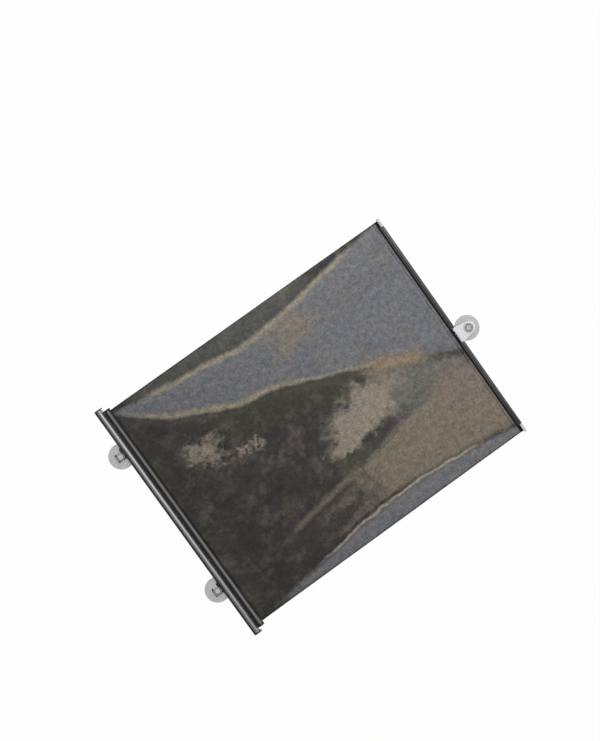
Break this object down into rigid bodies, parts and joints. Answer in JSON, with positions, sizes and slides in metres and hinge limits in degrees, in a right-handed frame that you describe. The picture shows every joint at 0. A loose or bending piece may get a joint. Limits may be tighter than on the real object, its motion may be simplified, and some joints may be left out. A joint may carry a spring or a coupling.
{
  "type": "retractable car window sunshade",
  "caption": "Roller sunshade for a car side window, pulled out: slim housing, dark perforated film, split pull bar with a clear tab, and suction cups in forks.",
  "frame": {"origin": "middle of the footprint, in the plane of the suction cups' rims, which is the window glass", "axes": "+X is the way the film is pulled, from the housing to the bar; +Y runs along the roller; +Z points from the glass into the car"},
  "size_m": [0.594, 0.421, 0.0198],
  "materials": {
    "black_plastic": "satin",
    "silver_aluminium": "satin",
    "clear_vinyl": "gloss",
    "clear_plastic": "gloss",
    "white_plastic": "satin",
    "film": "gloss",
    "tube_metal": "satin",
    "spring_steel": "satin"
  },
  "bodies": {
    "housing": {"housing_base": "black_plastic", "housing_cover": "silver_aluminium", "end_cap_idler": "black_plastic", "end_cap_spring": "black_plastic", "fork_1": "black_plastic", "fork_2": "black_plastic", "spring_shaft": "tube_metal", "torsion_spring": "spring_steel"},
    "roller": {"roller_tube": "tube_metal", "film_roll": "film", "idler_bush": "black_plastic", "spring_bush": "black_plastic", "spring_anchor": "black_plastic"},
    "pull_bar": {"shade_film": "film", "hem_rod": "black_plastic", "bar_channel_long": "black_plastic", "bar_channel_short": "black_plastic", "bar_plug_1": "white_plastic", "bar_plug_2": "white_plastic", "pull_tab": "clear_plastic"},
    "cup_1": {"suction_cup_1": "clear_vinyl"},
    "cup_2": {"suction_cup_2": "clear_vinyl"},
    "cup_3": {"suction_cup_3": "clear_vinyl"}
  },
  "joints": [
    {"name": "bar_slide", "type": "slide", "parent": "housing", "child": "pull_bar", "axis": [1, 0, 0], "range_m": [-0.4965, 0], "deforming": ["shade_film"]},
    {"name": "roller_spin", "type": "hinge", "parent": "housing", "child": "roller", "pos_m": [-0.25268, 0, 0.014], "axis": [0, 1, 0], "range_deg": [0, 4950], "deforming": ["torsion_spring"]},
    {"name": "cup_1_swivel", "type": "hinge", "parent": "housing", "child": "cup_1", "pos_m": [-0.27668, 0.1323, 0.0112], "axis": [0, 0, 1], "continuous": true},
    {"name": "cup_2_swivel", "type": "hinge", "parent": "housing", "child": "cup_2", "pos_m": [-0.27668, -0.1217, 0.0112], "axis": [0, 0, 1], "continuous": true},
    {"name": "cup_3_swivel", "type": "hinge", "parent": "pull_bar", "child": "cup_3", "pos_m": [0.27668, -0.0175, 0.0112], "axis": [0, 0, 1], "continuous": true}
  ],
  "couplings": [
    {"joint": "roller_spin", "follows": "bar_slide", "rad_per_m": -173.91}
  ]
}
